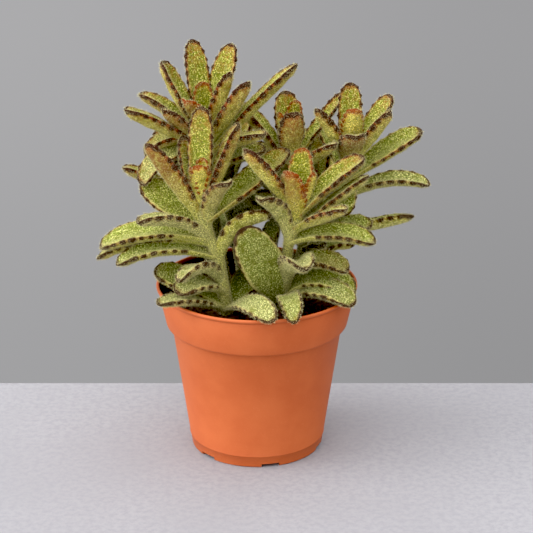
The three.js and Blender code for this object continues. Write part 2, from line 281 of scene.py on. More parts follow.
# %% Spin the pot's section
pot_height = 104
rim_radius = 60
collar_radius = 54.6
collar_bottom = 80
shoulder_radius = 51.2
shoulder_height = 78.4
foot_radius = 39.8
wall = 1.4
foot_ring_width = 3.6
base_recess = 2.5
centre_pad_radius = 14
pot_steps = 144

outer_section = [
    (0, 0), (centre_pad_radius, 0), (centre_pad_radius + 1, base_recess),
    (foot_radius - foot_ring_width, base_recess), (foot_radius - foot_ring_width + 0.4, 0.3),
    (foot_radius - foot_ring_width + 0.9, 0), (foot_radius - 0.6, 0), (foot_radius, 0.5),
    (foot_radius + 1.0, 6.9), (foot_radius + 1.3, 7.2), (foot_radius + 1.45, 7.6),
    (foot_radius + 1.4, 8.0), (foot_radius + 1.3, 8.3),
    (shoulder_radius - 0.1, shoulder_height - 0.8), (shoulder_radius + 0.3, shoulder_height + 0.1),
    (collar_radius - 1.3, collar_bottom - 1.0), (collar_radius - 0.5, collar_bottom - 0.75),
    (collar_radius - 0.1, collar_bottom - 0.2), (collar_radius + 0.1, collar_bottom + 0.6),
    (rim_radius - 0.95, pot_height - 3.3), (rim_radius - 1.15, pot_height - 2.9),
    (rim_radius - 1.1, pot_height - 2.5), (rim_radius - 0.6, pot_height - 2.2),
    (rim_radius, pot_height - 1.8), (rim_radius + 0.2, pot_height - 1.2),
    (rim_radius + 0.1, pot_height - 0.5), (rim_radius - 0.35, pot_height - 0.05),
    (rim_radius - 0.8, pot_height),
]
inner_section = [
    (rim_radius - 1.35, pot_height - 0.15), (rim_radius - wall - 0.1, pot_height - 0.7),
    (collar_radius - wall, collar_bottom + 0.6), (collar_radius - wall - 1.2, collar_bottom - 0.3),
    (shoulder_radius - wall, shoulder_height + 0.3), (foot_radius - 0.9, base_recess + wall),
    (centre_pad_radius, base_recess + wall), (centre_pad_radius - 1, wall), (0, wall),
]
bm = bmesh.new()
section = [bm.verts.new((radius * MM, 0, height * MM)) for radius, height in outer_section + inner_section]
edges = [bm.edges.new(pair) for pair in zip(section, section[1:])]
bmesh.ops.spin(bm, geom=section + edges, cent=(0, 0, 0), axis=(0, 0, 1), angle=2 * math.pi,
               steps=pot_steps, use_merge=True)
bmesh.ops.remove_doubles(bm, verts=bm.verts, dist=1e-6)
bmesh.ops.recalc_face_normals(bm, faces=bm.faces)
fix_face_order(bm)
pot_mesh = bpy.data.meshes.new("pot_wall")
bm.to_mesh(pot_mesh)
bm.free()
print("pot section:", len(section), "points,", pot_steps, "steps")

# %% Cut the notches and the drain holes
notch_count = 6
notch_width = 11
notch_height = 2.2
first_notch = -78
drain_radius = 4
drain_circle = 24.5

bm = bmesh.new()
for number in range(notch_count):
    turn = Matrix.Rotation(math.radians(first_notch + number * 360 / notch_count), 4, "Z")
    notch = bmesh.ops.create_cube(bm, size=1)["verts"]
    bmesh.ops.scale(bm, verts=notch, vec=Vector((foot_ring_width * 2.4, notch_width, notch_height * 2)) * MM)
    bmesh.ops.translate(bm, verts=notch, vec=Vector((foot_radius - foot_ring_width / 2, 0, 0)) * MM)
    bmesh.ops.transform(bm, verts=notch, matrix=turn)
    drain = bmesh.ops.create_cone(bm, cap_ends=True, segments=28, radius1=drain_radius * MM,
                                  radius2=drain_radius * MM, depth=4 * wall * MM)["verts"]
    bmesh.ops.translate(bm, verts=drain, vec=Vector((drain_circle, 0, base_recess + wall)) * MM)
    bmesh.ops.transform(bm, verts=drain, matrix=turn)
cutter_mesh = bpy.data.meshes.new("cutters")
bm.to_mesh(cutter_mesh)
bm.free()
cutter = bpy.data.objects.new("cutters", cutter_mesh)
uncut = bpy.data.objects.new("uncut_pot", pot_mesh)
for helper in (cutter, uncut):
    bpy.context.scene.collection.objects.link(helper)
cut = uncut.modifiers.new("cut", "BOOLEAN")
cut.operation = "DIFFERENCE"
cut.solver = "EXACT"
cut.object = cutter
graph = bpy.context.evaluated_depsgraph_get()
cut_mesh = bpy.data.meshes.new_from_object(uncut.evaluated_get(graph))
for helper in (cutter, uncut):
    bpy.data.objects.remove(helper)
print("pot cut:", len(cut_mesh.polygons), "faces")

# %% [markdown]
# The pot's plastic is dyed through and moulded with a slightly matte face. Up close it has a faint mottle
# from the melt and a fine grain that breaks up the highlight. The inner face of the collar, up to just below
# the rim, is painted near-black: painted shade where the leaves keep the light out, together with a stain
# from damp mix. The wall is one mesh, so the material finds that face itself: it is nearer to the axis than
# the middle of the wall is at the same height.

# %% Terracotta-coloured plastic
plastic, tree, shader = new_material("terracotta_plastic")
spot = object_position(tree)
melt = grain(tree, spot, 38, 4, 0.6)
fine = grain(tree, spot, 900, 3, 0.6)
mottled = ramp(tree, melt, 0.3, 0.7)
worn = ramp(tree, fine, 0.55, 0.8, 0.0, 0.25)
colour = mix_colours(tree, mottled, screen_colour(186, 94, 52), screen_colour(195, 103, 59))
colour = mix_colours(tree, worn, colour, screen_colour(205, 124, 84))

# %% Painted shade and stain inside the collar
x, y, z = add_node(tree, "SeparateXYZ", {"Vector": spot}).outputs
flat = add_node(tree, "CombineXYZ", {"X": x, "Y": y}).outputs[0]
from_axis = add_node(tree, "VectorMath", {0: flat}, operation="LENGTH").outputs["Value"]
collar_slope = (rim_radius - collar_radius) / (pot_height - collar_bottom)
mid_wall_start = (collar_radius - wall / 2) * MM
above_collar = calculate(tree, "SUBTRACT", z, collar_bottom * MM)
mid_wall = calculate(tree, "ADD", product(tree, above_collar, collar_slope), mid_wall_start)
inside = ramp(tree, calculate(tree, "SUBTRACT", from_axis, mid_wall), 0.3 * MM, -0.3 * MM)
in_collar = ramp(tree, above_collar, 1 * MM, 2 * MM)
below_rim = ramp(tree, z, (pot_height - 0.3) * MM, (pot_height - 2.8) * MM)
# Painted shade and a soil stain: the collar's inner face is darkened nearly to black.
shade_and_stain = product(tree, inside, in_collar, below_rim, ramp(tree, melt, 0.25, 0.5, 0.9, 1.0))
colour = mix_colours(tree, shade_and_stain, colour, screen_colour(40, 24, 17))
tree.links.new(colour, shader.inputs["Base Color"])
tree.links.new(ramp(tree, melt, 0.2, 0.8, 0.5, 0.6), shader.inputs["Roughness"])
shader.inputs["Specular IOR Level"].default_value = 0.3
bump = add_node(tree, "Bump", {"Height": fine, "Strength": 0.25, "Distance": 0.1 * MM})
tree.links.new(bump.outputs["Normal"], shader.inputs["Normal"])

pot = finish_piece(cut_mesh, "nursery_pot", plastic, ["pot"])
for polygon in pot.data.polygons:
    polygon.use_smooth = abs(polygon.normal.z) < 0.995
pot.data.set_sharp_from_angle(angle=math.radians(40))

# %% [markdown]
# ## The potting mix
# Peat and bark fines, dark with water, lie a little below the rim. The bed starts as a flat round face,
# which is inset again and again, so that there are points to raise into low mounds. Loose crumbs are
# scattered over it. Two thousand crumbs placed by hand would be slow, so a small geometry node network does
# it: it spreads points over the bed, puts a lump on each and makes them real.

# %% Bed of the potting mix
soil_top = 90.4
soil_edge = 55.0
soil_underside = 70
underside_share = 0.8
settle_start = 46
settle_depth = 1.2
bed_rings = 26


def soil_relief(x, y):
    low_mounds = 0.5 * math.sin(0.19 * x + 0.7) * math.cos(0.16 * y) + 0.4 * math.sin(0.37 * x - 0.31 * y)
    clods = 1.1 * noise.noise(Vector((x, y, 0)) * 0.22) + 0.5 * noise.noise(Vector((x, y, 9)) * 0.7)
    return low_mounds + clods


bm = bmesh.new()
bmesh.ops.create_circle(bm, cap_ends=True, cap_tris=False, segments=96, radius=soil_edge * MM)
ring_width = soil_edge / (bed_rings + 1) * MM
for ring in range(bed_rings):
    middle = [face for face in bm.faces if len(face.verts) > 4]
    bmesh.ops.inset_individual(bm, faces=middle, thickness=ring_width, use_even_offset=True)
for vert in bm.verts:
    x, y = vert.co.x / MM, vert.co.y / MM
    settled = settle_depth * soft_step(math.hypot(x, y), settle_start, soil_edge)
    vert.co.z = (soil_top + soil_relief(x, y) - settled) * MM
skirt = bmesh.ops.extrude_edge_only(bm, edges=[edge for edge in bm.edges if edge.is_boundary])["geom"]
skirt = [item for item in skirt if isinstance(item, bmesh.types.BMVert)]
for vert in skirt:
    vert.co = Vector((vert.co.x * underside_share, vert.co.y * underside_share, soil_underside * MM))
bmesh.ops.contextual_create(bm, geom=[edge for edge in bm.edges if edge.is_boundary])
bmesh.ops.recalc_face_normals(bm, faces=bm.faces)
fix_face_order(bm)
print("bed:", len(bm.faces), "faces")


# %% [markdown]
# One network serves the crumbs and, later, the hairs of the leaves: spread points on a surface, place a
# copy of a small shape on each with its own turn and size, and turn the copies into real mesh. The swing
# says how far a copy may lean from the surface's normal. A piece may name a number that its points carry, by
# which the copies stand thick or thin.


# %% A network that scatters a small shape over a surface
def scatter(surface, name, shape, per_square_mm, size_range, swing, seed, thick_where=None):
    group = bpy.data.node_groups.new(name, "GeometryNodeTree")
    group.interface.new_socket("Geometry", in_out="INPUT", socket_type="NodeSocketGeometry")
    group.interface.new_socket("Geometry", in_out="OUTPUT", socket_type="NodeSocketGeometry")
    given = group.nodes.new("NodeGroupInput").outputs[0]
    result = group.nodes.new("NodeGroupOutput").inputs[0]
    spread = group.nodes.new("GeometryNodeDistributePointsOnFaces")
    spread.inputs["Density"].default_value = per_square_mm / MM ** 2
    spread.inputs["Seed"].default_value = seed
    if thick_where:
        share = group.nodes.new("GeometryNodeInputNamedAttribute")
        share.data_type = "FLOAT"
        share.inputs["Name"].default_value = thick_where
        density = group.nodes.new("ShaderNodeMath")
        density.operation = "MULTIPLY"
        density.inputs[1].default_value = per_square_mm / MM ** 2
        group.links.new(share.outputs["Attribute"], density.inputs[0])
        group.links.new(density.outputs[0], spread.inputs["Density"])
    little = shape(group)
    place = group.nodes.new("GeometryNodeInstanceOnPoints")
    turn = group.nodes.new("FunctionNodeRotateRotation")
    turn.rotation_space = "LOCAL"
    wobble = group.nodes.new("FunctionNodeRandomValue")
    wobble.data_type = "FLOAT_VECTOR"
    wobble.inputs[0].default_value = (-swing, -swing, -math.pi)
    wobble.inputs[1].default_value = (swing, swing, math.pi)
    wobble.inputs["Seed"].default_value = seed + 1
    size = group.nodes.new("FunctionNodeRandomValue")
    size.data_type = "FLOAT"
    size.inputs[2].default_value, size.inputs[3].default_value = size_range
    size.inputs["Seed"].default_value = seed + 2
    real = group.nodes.new("GeometryNodeRealizeInstances")
    link = group.links.new
    link(given, spread.inputs["Mesh"])
    link(spread.outputs["Points"], place.inputs["Points"])
    link(little, place.inputs["Instance"])
    link(spread.outputs["Rotation"], turn.inputs["Rotation"])
    link(wobble.outputs[0], turn.inputs["Rotate By"])
    link(turn.outputs["Rotation"], place.inputs["Rotation"])
    link(size.outputs[1], place.inputs["Scale"])
    link(place.outputs["Instances"], real.inputs["Geometry"])
    link(real.outputs["Geometry"], result)
    carrier = bpy.data.objects.new(name, surface)
    bpy.context.scene.collection.objects.link(carrier)
    carrier.modifiers.new("scatter", "NODES").node_group = group
    graph = bpy.context.evaluated_depsgraph_get()
    mesh = bpy.data.meshes.new_from_object(carrier.evaluated_get(graph))
    bpy.data.objects.remove(carrier)
    bpy.data.node_groups.remove(group)
    return mesh


def crumb_shape(group):
    lump = group.nodes.new("GeometryNodeMeshIcoSphere")
    lump.inputs["Radius"].default_value = 1.0 * MM
    lump.inputs["Subdivisions"].default_value = 1
    press = group.nodes.new("GeometryNodeTransform")
    press.inputs["Scale"].default_value = (1.0, 0.72, 0.5)
    group.links.new(lump.outputs["Mesh"], press.inputs["Geometry"])
    return press.outputs["Geometry"]


# %% Dark potting mix
peat, tree, shader = new_material("potting_mix")
spot = object_position(tree)
coarse = ramp(tree, grain(tree, spot, 240, 4, 0.65), 0.35, 0.68)
fine = grain(tree, spot, 1100, 3, 0.6)
fibres = ramp(tree, fine, 0.62, 0.75, 0.0, 0.6)
colour = mix_colours(tree, coarse, screen_colour(52, 37, 26), screen_colour(104, 76, 54))
colour = mix_colours(tree, fibres, colour, screen_colour(160, 126, 94))
tree.links.new(colour, shader.inputs["Base Color"])
shader.inputs["Roughness"].default_value = 0.92
bump = add_node(tree, "Bump", {"Height": fine, "Strength": 0.7, "Distance": 0.6 * MM})
tree.links.new(bump.outputs["Normal"], shader.inputs["Normal"])
bed = finish_piece(bm, "potting_mix_bed", peat, ["potting_mix"])

# %% Loose crumbs on the bed
crumbs_per_square_mm = 0.22
crumb_sizes = (0.35, 1.5)
lowest_crumb = 87.5 * MM

top_only = bmesh.new()
top_only.from_mesh(bed.data)
low = [face for face in top_only.faces if face.calc_center_median().z < lowest_crumb or len(face.verts) > 4]
bmesh.ops.delete(top_only, geom=low, context="FACES")
bed_top = bpy.data.meshes.new("bed_top")
top_only.to_mesh(bed_top)
top_only.free()
crumbs = scatter(bed_top, "crumbs", crumb_shape, crumbs_per_square_mm, crumb_sizes, math.pi, 5)
finish_piece(crumbs, "potting_mix_crumbs", peat)

# %% [markdown]
# ## Where the leaves grow
# Each stem is a short path, and each leaf is one row: its height on the stem, its turn about the upright, its
# rise, how far its tip bends from that, its length and width, how steeply its halves fold up, and its roll.
# Millimetres and degrees are easy to read and to change one leaf at a time. They were placed against the
# view, and they are the same rows as in the imported model, so the fine leaves lie in the plain ones.

# %% Stems and their leaves
stems = {
    "front_left": {
        "radius": 3.6,
        "path": [(-18, -18, 92), (-22, -21, 124), (-28, -22, 142), (-33, -23, 157), (-33, -23, 164)],
        "leaves": {
            "bud_front": (156, -88, 85, -5, 31, 12, 0.5, 0),
            "bud_left": (158, -170, 80, 0, 27, 9, 0.5, 0),
            "bud_rear": (160, 60, 80, 0, 29, 10, 0.5, 0),
            "bud_right": (159, 10, 75, 0, 24, 9, 0.5, 0),
            "cupped_right": (145, -56, 82, -60, 46, 13, 0.3, 0),
            "tall_right": (154, 20, 70, -8, 59, 14, 0.6, -15),
            "brown_left": (148, -165, 60, -6, 63, 14, 0.5, 35),
            "rear_left": (157, 125, 70, -5, 45, 13, 0.5, 0),
            "rear_tall": (158, 84, 78, -5, 60, 14, 0.3, 0),
            "broad_left": (144, 157, 34, -7, 49, 20, 0.25, -25),
            "arch_left_upper": (139, -147, 47, -56, 55, 14, 0.5, 10),
            "long_left": (140, -181, 16, -50, 67, 19, 0.4, -12),
            "long_left_under": (137, 173, 10, -48, 72, 14, 0.4, 0),
            "long_left_low": (128, -170, 25, -60, 62, 15, 0.45, -8),
            "curled_left": (110, -131, 64, -105, 46, 14, 0.4, 20),
            "under_curl": (105, -136, 46, -75, 40, 17, 0.3, -10),
            "over_left_rim": (98, -178, 37, -24, 47, 19, 0.3, -25),
            "rim_left": (93, -138, 35, -36, 56, 14, 0.3, 0),
            "arch_right": (125, -6, 80, -84, 48, 15, 0.4, -35),
            "long_right": (151, 25, 33, 0, 66, 19, 0.45, 12),
            "rim_front": (93, -60, 39, -60, 60, 15, 0.15, 20),
            "behind_oval": (95, 45, 40, -20, 39, 16, 0.3, 30),
        },
    },
    "front_right": {
        "radius": 3.2,
        "path": [(16, -9, 92), (17, -14, 113), (19, -19, 137), (23, -21, 150), (25, -21, 160)],
        "leaves": {
            "bud_front": (150, -120, 75, 0, 35, 15, 0.5, 0),
            "bud_right": (152, -15, 70, 3, 31, 10, 0.5, 0),
            "bud_rear": (157, 65, 80, 0, 37, 15, 0.4, 0),
            "left_tall": (155, -165, 55, -5, 53, 15, 0.45, 15),
            "right_up": (154, 5, 50, -20, 52, 16, 0.55, 15),
            "right_short": (145, -35, 35, -15, 42, 13, 0.5, 0),
            "right_long": (137, -13, 25, -50, 53, 16, 0.45, 12),
            "right_under": (141, -5, 45, -10, 59, 12, 0.4, 0),
            "curl_left": (137, -125, 75, -60, 48, 13, 0.4, 10),
            "funnel": (109, -74, 60, -70, 51, 17, 0.7, 0),
            "fold_right": (117, -18, 42, -85, 42, 17, 0.3, 10),
            "rim_right_far": (99, -20, 56, -112, 52, 18, 0.25, 20),
            "rim_right": (93, -38, 50, -85, 58, 18, 0.28, 15),
            "rim_front_right": (92, -84, 46, -78, 62, 13, 0.3, 15),
            "big_oval": (96, -130, 57, -4, 69, 26, 0.1, -115),
        },
    },
    "tall_left": {
        "radius": 3.2,
        "path": [(-17, 4, 91), (-24, 6, 135), (-29, 8, 178), (-31, 9, 201)],
        "leaves": {
            "rear_1": (189, 112, 74, -11, 61, 14, 0.3, 0),
            "rear_2": (190, 47, 69, -5, 59, 15, 0.3, 10),
            "left_high": (188, 179, 63, 1, 56, 14, 0.6, -15),
            "bud_rear": (196, 105, 80, 0, 29, 12, 0.5, 0),
            "right_high": (189, -17, 72, -3, 47, 13, 0.5, -10),
            "right_front": (186, -25, 56, 3, 52, 14, 0.5, -10),
            "bud_front": (195, -125, 62, -20, 30, 13, 0.5, 0),
            "left_front": (184, -143, 49, -8, 43, 14, 0.45, 0),
            "left_arch": (184, -165, 45, -105, 43, 14, 0.5, 0),
            "left_upper": (185, 171, 55, -38, 52, 14, 0.5, 0),
            "left_long": (183, -154, 39, -15, 61, 15, 0.5, 0),
            "left_drop": (178, -153, 38, -118, 52, 14, 0.4, -20),
            "right_flat": (181, -35, 35, -20, 47, 14, 0.4, 0),
            "right_under": (174, -20, 30, -20, 39, 14, 0.35, 15),
            "right_far": (181, 0, 50, -8, 77, 14, 0.5, 0),
            "right_back_dark": (176, 25, 8, -5, 42, 14, 0.3, 20),
            "rear_low_1": (172, 85, 35, -30, 50, 15, 0.4, 0),
            "rear_low_2": (165, 115, 35, -20, 46, 15, 0.4, 0),
            "rear_low_3": (152, 115, 30, -40, 46, 14, 0.4, 0),
        },
    },
    "mid_back": {
        "radius": 3.2,
        "path": [(3, 8, 90), (11, 10, 133), (19, 13, 167), (20, 15, 186)],
        "leaves": {
            "rear": (176, 97, 64, -5, 42, 15, 0.3, 0),
            "bud_rear": (181, 60, 75, 0, 31, 11, 0.5, 0),
            "front": (173, -75, 75, 0, 37, 15, 0.4, 0),
            "bud_left": (178, -145, 75, 0, 30, 9, 0.5, 0),
            "left": (171, 158, 60, -28, 50, 16, 0.45, 10),
            "right_front": (166, -35, 45, -15, 43, 14, 0.4, 0),
            "right_rear": (173, 35, 45, -4, 56, 10, 0.5, 0),
            "left_low": (152, -145, 55, -30, 28, 13, 0.3, 0),
            "front_low": (143, -125, 65, -50, 33, 13, 0.3, 0),
            "right_low": (138, -101, 30, -105, 27, 10, 0.3, 10),
            "fill_left": (138, -182, 45, -17, 38, 14, 0.3, 10),
            "rear_low_1": (166, 70, 35, -25, 44, 14, 0.4, 0),
            "rear_low_2": (158, 115, 35, -30, 44, 14, 0.4, 0),
        },
    },
    "right_back": {
        "radius": 3.2,
        "path": [(16, 10, 91), (32, 12, 120), (50, 14, 151), (57, 15, 188)],
        "leaves": {
            "rear_1": (176, 87, 70, -5, 46, 14, 0.3, 0),
            "rear_2": (178, 22, 51, 4, 44, 15, 0.35, 10),
            "right_fold": (171, -19, 59, -8, 46, 14, 0.6, 0),
            "bud_front": (181, -80, 75, 0, 30, 13, 0.5, 0),
            "front": (170, -80, 68, -42, 38, 15, 0.4, 0),
            "left": (173, -152, 64, -11, 44, 11, 0.5, 15),
            "right_long": (163, 4, 40, -15, 55, 18, 0.35, 15),
            "right_arch": (151, -13, 40, -60, 58, 14, 0.5, 8),
            "right_low": (126, 3, 20, -15, 61, 14, 0.5, -15),
            "behind_long": (131, -32, 39, -55, 37, 15, 0.3, 10),
            "droop": (157, -90, 45, -120, 42, 14, 0.3, 0),
            "fill_right": (112, -55, 55, -30, 26, 15, 0.3, 0),
            "fill_low": (103, -60, 60, -60, 36, 15, 0.3, 0),
            "rear_low_1": (166, 110, 40, -25, 46, 14, 0.4, 0),
            "rear_low_2": (158, 75, 35, -35, 46, 15, 0.4, 0),
            "rear_low_3": (140, 75, 20, -50, 40, 14, 0.4, 0),
        },
    },
    "left_low": {
        "radius": 3.2,
        "path": [(-15, 14, 89), (-34, 18, 124), (-47, 22, 151), (-54, 22, 166)],
        "leaves": {
            "fill_low": (129, -130, 70, -15, 38, 14, 0.3, 0),
            "dark_tip": (153, -165, 40, -25, 38, 12, 0.4, 0),
            "front_fill": (157, -100, 60, -20, 29, 12, 0.3, 0),
            "rear_1": (156, 110, 51, -15, 41, 13, 0.4, 0),
            "rear_2": (148, 153, 34, -35, 40, 12, 0.4, 0),
            "bud_rear": (164, 60, 75, 0, 24, 9, 0.4, 0),
            "bud_left": (163, -160, 70, 0, 22, 9, 0.4, 0),
        },
    },
    "rear_left": {
        "radius": 3.2,
        "path": [(-8, 31, 92), (-13, 36, 118), (-18, 40, 140), (-21, 42, 156)],
        "leaves": {
            "bud_1": (154, 90, 80, 0, 28, 10, 0.4, 0),
            "bud_2": (154, -90, 80, 0, 26, 10, 0.4, 0),
            "upper_1": (154, 20, 65, -5, 41, 14, 0.4, 0),
            "upper_2": (149, 160, 62, -5, 36, 12, 0.4, 0),
            "upper_3": (146, 75, 50, -15, 46, 14, 0.4, 0),
            "upper_4": (144, -100, 65, 0, 40, 13, 0.4, 0),
            "mid_1": (136, 141, 38, -30, 52, 16, 0.4, 0),
            "mid_2": (133, 27, 21, -47, 38, 21, 0.4, 0),
            "low_1": (120, 123, 19, -45, 52, 16, 0.4, 0),
            "low_2": (114, 173, 19, -45, 50, 14, 0.4, 0),
            "rim": (97, 80, 42, -75, 50, 16, 0.4, 0),
        },
    },
    "rear_right": {
        "radius": 3.2,
        "path": [(22, 28, 92), (28, 35, 112), (32, 41, 128), (34, 44, 140)],
        "leaves": {
            "bud_1": (138, 80, 80, 0, 28, 10, 0.4, 0),
            "bud_2": (138, -100, 78, 0, 26, 10, 0.4, 0),
            "upper_1": (138, 41, 75, 8, 44, 18, 0.4, 0),
            "upper_2": (133, 150, 60, -5, 36, 12, 0.4, 0),
            "upper_3": (130, 60, 48, -15, 44, 14, 0.4, 0),
            "mid_1": (124, 110, 38, -30, 48, 15, 0.4, 0),
            "mid_2": (120, 55, 32, -35, 40, 15, 0.4, 0),
            "low_1": (112, 62, 27, -50, 50, 19, 0.4, 0),
            "rim": (98, 35, 45, -80, 48, 16, 0.4, 0),
        },
    },
}
print("leaves:", sum(len(stem["leaves"]) for stem in stems.values()))

# %% [markdown]
# Leaves of one plant differ with age. The buds at the tips are pale yellow-green with orange-red margins,
# the middle leaves are greener with brown teeth, and the oldest, at the soil, are grey with pale felt. So
# each leaf gets three numbers from 0 to 1: youth from its height on the stem, and, for those that stand out,
# a brown flush and extra pale bloom. Its belly is the share of its length at which it is widest.

# %% Youth, flush, bloom and belly
default_belly = 0.6
bud_belly = 0.45
broad_bellies = {"big_oval": 0.42}
flushed = {
    ("front_left", "brown_left"): 0.9, ("front_left", "tall_right"): 0.3,
    ("front_left", "cupped_right"): 0.35,
    ("front_right", "bud_front"): 0.75, ("front_right", "fold_right"): 0.35,
    ("tall_left", "bud_front"): 0.8, ("tall_left", "left_front"): 0.6, ("tall_left", "right_front"): 0.3,
    ("mid_back", "front"): 0.8, ("right_back", "front"): 0.9,
}
bloomed = {
    ("front_left", "curled_left"): 1.0, ("front_left", "rim_front"): 0.8, ("front_left", "rim_left"): 0.7,
    ("front_left", "under_curl"): 0.6, ("front_left", "arch_left_upper"): 0.8,
    ("front_left", "cupped_right"): 0.4, ("front_right", "funnel"): 1.0, ("front_right", "rim_right"): 0.4,
    ("front_right", "rim_front_right"): 0.3, ("front_right", "curl_left"): 0.5,
    ("front_right", "big_oval"): 0.3, ("tall_left", "left_drop"): 0.8, ("tall_left", "left_arch"): 0.5,
    ("right_back", "right_arch"): 0.5,
}


def youth_of(stem, name, height):
    if name.startswith("bud"):
        return 1.0
    bottom, top = stem["path"][0][2], stem["path"][-1][2]
    return 0.7 * soft_step((height - bottom) / (top - bottom), 0.5, 1.0)


# %% [markdown]
# ## The shape of a leaf
# A leaf is a thick folded boat: narrow where it clasps the stem, widest past the middle, with a blunt round
# tip. The two halves rise from the midrib, the margins are rounded, and small teeth stand out along them. It
# can be built from sections lofted along a curve. Here a sphere of many faces is reshaped instead: its poles
# become the base and the tip, so the mesh is closed and even, and each of its circles becomes one section of
# the leaf. In these functions s is the share of the way along a leaf or a stem.

# %% A leaf's outline and bearing
base_share = 0.5
tip_bluntness = 2.8
bend_onset = 1.3


def outline(s, belly):
    widen = soft_step(s, 0, belly)
    narrow = max(0.0, (s - belly + 0.02) / (1.02 - belly))
    tip = math.sqrt(max(0.0, 1 - narrow ** tip_bluntness))
    return (base_share + (1 - base_share) * widen) * tip


def bearing(leaf, s):
    rise = math.radians(leaf["rise"] + leaf["bend"] * s ** bend_onset)
    turn = math.radians(leaf["turn"])
    along = Vector((math.cos(rise) * math.cos(turn), math.cos(rise) * math.sin(turn), math.sin(rise)))
    upper = Vector((-math.sin(rise) * math.cos(turn), -math.sin(rise) * math.sin(turn), math.cos(rise)))
    upper.rotate(Matrix.Rotation(math.radians(leaf["roll"]), 3, along))
    return along, upper, along.cross(upper)


def point_at_height(path, height):
    for low, high in zip(path, path[1:]):
        if height <= high[2]:
            share = (height - low[2]) / (high[2] - low[2])
            return Vector(low).lerp(Vector(high), share)
    return Vector(path[-1])


# %% [markdown]
# Old leaves have wide teeth far apart, and buds have small ones close together. Each vertex also carries
# numbers for the material and the hairs: where on the leaf it lies, the kind of leaf, the beat of the teeth
# with the pitch and the distance from the margin, the leaf's own tone, how thick its felt is, and how deep
# in the crown it lies, where little light comes, which sets the shade painted into the skin there.

# %% Settings for the leaves
around = 28
sections_of_short_leaf = 44
sections_of_long_leaf = 60
short_leaf = 34
tip_crowding = 1.45
leaf_thickness = 0.36
first_tooth = 0.32
old_tooth_pitch = 6.2
young_tooth_pitch = 5.0
bud_tooth_pitch = 3.2
tooth_reach = 0.7
young_tooth_reach = 1.05
tooth_half_width = 0.95
welt_height = 0.3
ripple_height = 0.45
face_felt = 0.25
margin_felt = 0.7
tone_step = 0.377
leaf_layers = ("place", "kind", "teeth")
leaf_numbers = ("tone", "fringe", "depth")


# Painted shade: how far a point lies among the stems or low over the soil, where the crown keeps light out.
def painted_crown_shade(spot):
    from_middle = math.hypot(spot.x - 2, 0.8 * (spot.y - 16))
    among_stems = soft_step(-from_middle, -58, -24) * soft_step(-spot.z, -190, -140)
    among_stems *= soft_step(spot.y, -22, -2)
    from_axis = math.hypot(spot.x, spot.y)
    over_soil = soft_step(-from_axis, -50, -30) * soft_step(-spot.z, -118, -98)
    return max(among_stems, 0.5 * over_soil * soft_step(spot.y, -34, -10))


def spaced_teeth(leaf):
    youth = leaf["kind"][0]
    pitch = old_tooth_pitch + (young_tooth_pitch - old_tooth_pitch) * youth
    pitch += (bud_tooth_pitch - young_tooth_pitch) * soft_step(youth, 0.85, 1.0)
    toothed = leaf["long"] * (1 - first_tooth)
    count = max(3, round(toothed / pitch))
    return count, toothed / count, tooth_reach + (young_tooth_reach - tooth_reach) * youth


def stations_along(root, leaf, sections):
    stations = []
    point = root.copy()
    last = 0.0
    for ring in range(sections + 1):
        s = 1 - (1 - ring / sections) ** tip_crowding
        point = point + bearing(leaf, (s + last) / 2)[0] * (leaf["long"] * (s - last))
        last = s
        stations.append((s, point.copy(), *bearing(leaf, s)[1:]))
    return stations


def ring_and_angle(vert, rings):
    ring = round(rings * (1 - math.acos(max(-1, min(1, vert.co.z))) / math.pi))
    return ring, math.atan2(vert.co.y, vert.co.x)


# %% Reshape a sphere into a leaf
def leaf_into(bm, root, leaf, number):
    sections = sections_of_short_leaf if leaf["long"] < short_leaf else sections_of_long_leaf
    tooth_count, tooth_pitch, reach = spaced_teeth(leaf)
    stations = stations_along(root, leaf, sections)
    place, kind, teeth = (bm.verts.layers.float_vector[name] for name in leaf_layers)
    tone, fringe, depth = (bm.verts.layers.float[name] for name in leaf_numbers)
    for vert in bmesh.ops.create_uvsphere(bm, u_segments=around, v_segments=sections, radius=1)["verts"]:
        ring, angle = ring_and_angle(vert, sections)
        on_axis = ring in (0, sections)
        side, top = math.cos(angle), math.sin(angle)
        s, centre, upper, across = stations[ring]
        shape = outline(s, leaf["belly"])
        half = leaf["wide"] / 2 * shape
        thick = leaf_thickness * leaf["wide"] * min(1, 0.25 + 0.75 * shape)
        thick *= min(1, math.sqrt(max(0.0, 1 - s) * 14 + 0.001))
        beat = (s - first_tooth) / (1 - first_tooth) * tooth_count + (0.0 if side > 0 else 0.35)
        offset = (beat - math.floor(beat) - 0.5) * tooth_pitch
        bulge = math.exp(-(offset / tooth_half_width) ** 2) * soft_step(beat, 0.0, 1.2)
        bulge *= soft_step(abs(side), 0.86, 1.0) * soft_step(1 - s, 0.0, 0.04)
        lift = leaf["fold"] * half * abs(side) ** 1.6 - 0.4 * leaf["fold"] * half
        swell = 0.5 * thick * math.copysign(abs(top) ** 0.75, top) * (1.15 if top < 0 else 0.7)
        welt = welt_height * math.exp(-((abs(side) - 0.93) / 0.05) ** 2)
        welt *= soft_step(top, 0.0, 0.3) * min(1, shape * 1.5)
        out = side * half + math.copysign(reach * bulge, side)
        if on_axis:
            out, lift, swell, welt, bulge = 0.0, -0.4 * leaf["fold"] * half, 0.0, 0.0, 0.0
        spot = centre + across * out + upper * (lift + swell + welt + 0.25 * bulge)
        ripple = noise.noise(spot * 0.16 + Vector((number * 7.1, 0, 0)))
        spot += upper * (ripple_height * ripple * soft_step(s, 0.05, 0.3))
        vert.co = spot * MM
        inward = math.hypot((1 - abs(side)) * half * 1.3, 0.5 * thick * abs(top))
        at_margin = abs(side) > 0.85 or s > 0.9
        vert[place] = (s, side, 0.0 if on_axis else top)
        vert[kind] = leaf["kind"]
        vert[teeth] = (beat, tooth_pitch, min(inward, (1 - s) * leaf["long"] * 0.8))
        vert[tone] = number * tone_step % 1.0
        vert[fringe] = margin_felt * (1 - 0.85 * bulge) if at_margin else face_felt
        vert[depth] = painted_crown_shade(spot)


